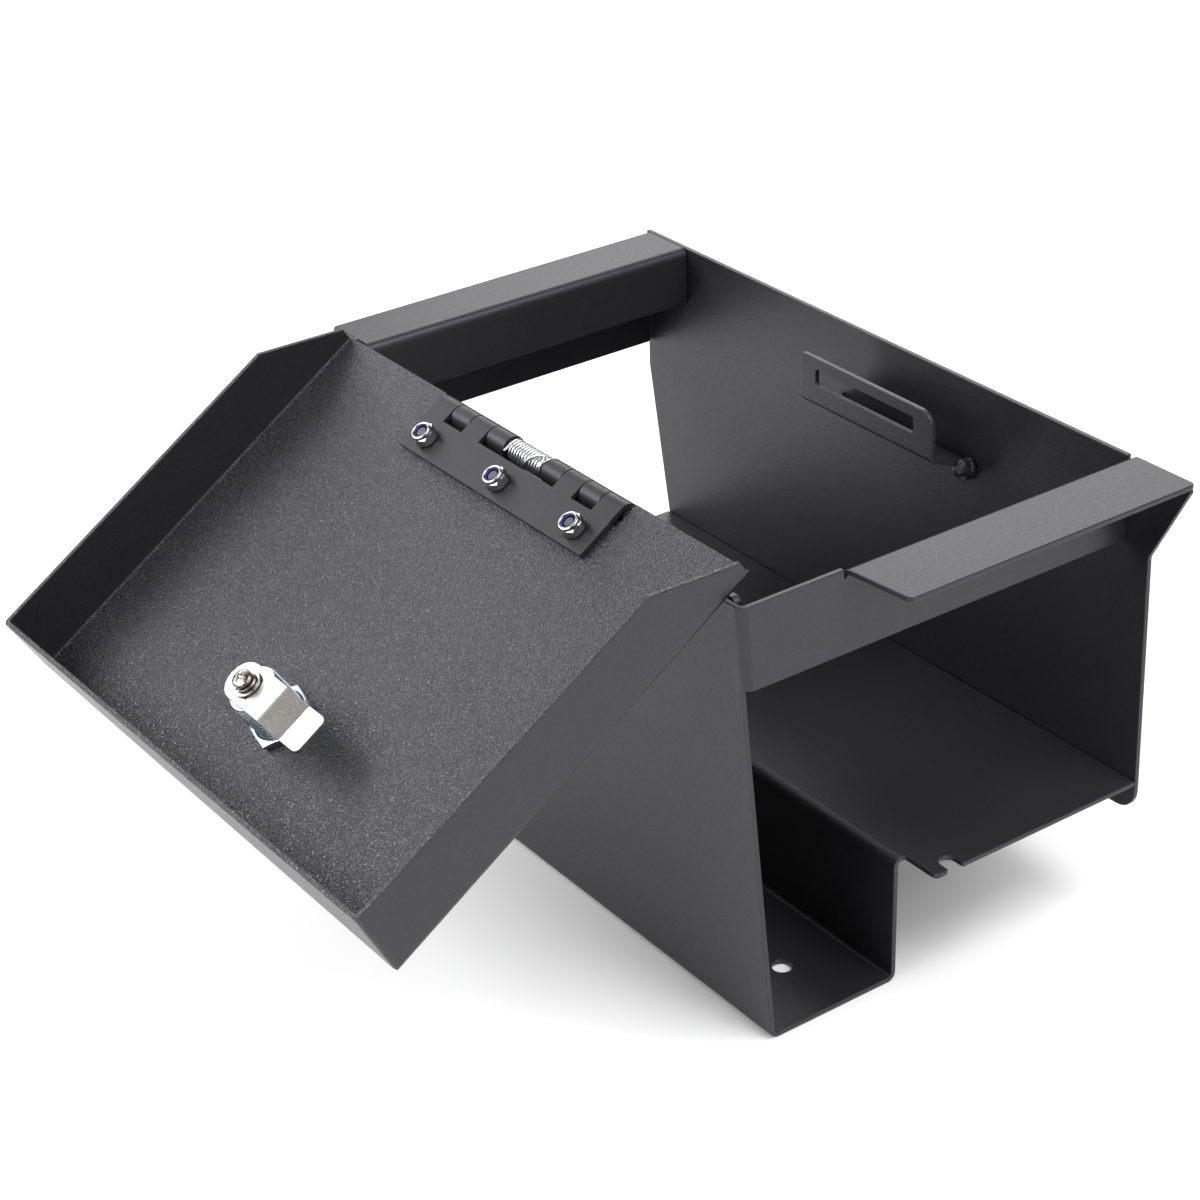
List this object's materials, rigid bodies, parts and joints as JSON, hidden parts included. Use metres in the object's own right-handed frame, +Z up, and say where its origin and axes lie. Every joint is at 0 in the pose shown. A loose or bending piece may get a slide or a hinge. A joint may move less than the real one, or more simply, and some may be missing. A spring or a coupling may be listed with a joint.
{
  "type": "console safe",
  "caption": "Folded steel console safe with stepped well and shelf, open ends, a hinged tray lid and a turning cam lock.",
  "frame": {"origin": "centre of the underside of the well floor, the lowest face", "axes": "+X from the hinge wall to the latch wall, +Y from the near end with the outward flange to the far end, +Z up"},
  "size_m": [0.3198, 0.307, 0.1918],
  "materials": {
    "housing_coat": "fine textured dark grey powder coat",
    "lid_coat": "fine textured dark grey powder coat",
    "leaf_coat": "satin dark grey coat, worn at the rolls",
    "spring_zinc": "drawn zinc-plated wire",
    "bolt_zinc": "bright zinc plate",
    "nut_plating": "bright polished plate",
    "nylon": "blue nylon",
    "lock_zinc": "blue-white zinc plate",
    "plug_chrome": "bright chrome",
    "cam_zinc": "bright zinc plate",
    "washer_zinc": "zinc-plated spring steel"
  },
  "bodies": {
    "housing": {"folded_body": "housing_coat", "latch_wall": "housing_coat", "strike_bracket": "housing_coat", "hinge_bar": "housing_coat", "body_leaf": "leaf_coat", "hinge_pin": "bolt_zinc", "hinge_spring": "spring_zinc", "body_bolt_1": "bolt_zinc", "body_nut_1": "nut_plating", "body_nut_ring_1": "nylon", "body_bolt_2": "bolt_zinc", "body_nut_2": "nut_plating", "body_nut_ring_2": "nylon", "body_bolt_3": "bolt_zinc", "body_nut_3": "nut_plating", "body_nut_ring_3": "nylon"},
    "lid": {"lid_panel": "lid_coat", "lid_leaf": "leaf_coat", "lid_bolt_1": "bolt_zinc", "lid_nut_1": "nut_plating", "lid_nut_ring_1": "nylon", "lid_bolt_2": "bolt_zinc", "lid_nut_2": "nut_plating", "lid_nut_ring_2": "nylon", "lid_bolt_3": "bolt_zinc", "lid_nut_3": "nut_plating", "lid_nut_ring_3": "nylon", "lock_housing": "lock_zinc", "lock_nut": "lock_zinc"},
    "lock": {"lock_plug": "plug_chrome", "lock_cam": "cam_zinc", "cam_screw": "washer_zinc", "cam_washer": "washer_zinc", "cam_lock_washer": "washer_zinc"}
  },
  "joints": [
    {"name": "lid_hinge", "type": "hinge", "parent": "housing", "child": "lid", "pos_m": [-0.0381, -0.00831, 0.1826], "axis": [0, 1, 0], "range_deg": [0, 213.51], "stiffness_Nm_per_rad": 0.05},
    {"name": "lock_turn", "type": "hinge", "parent": "lid", "child": "lock", "pos_m": [-0.14172, -0.00511, 0.11459], "axis": [0.5521, 0, -0.8338], "range_deg": [0, 90]}
  ]
}
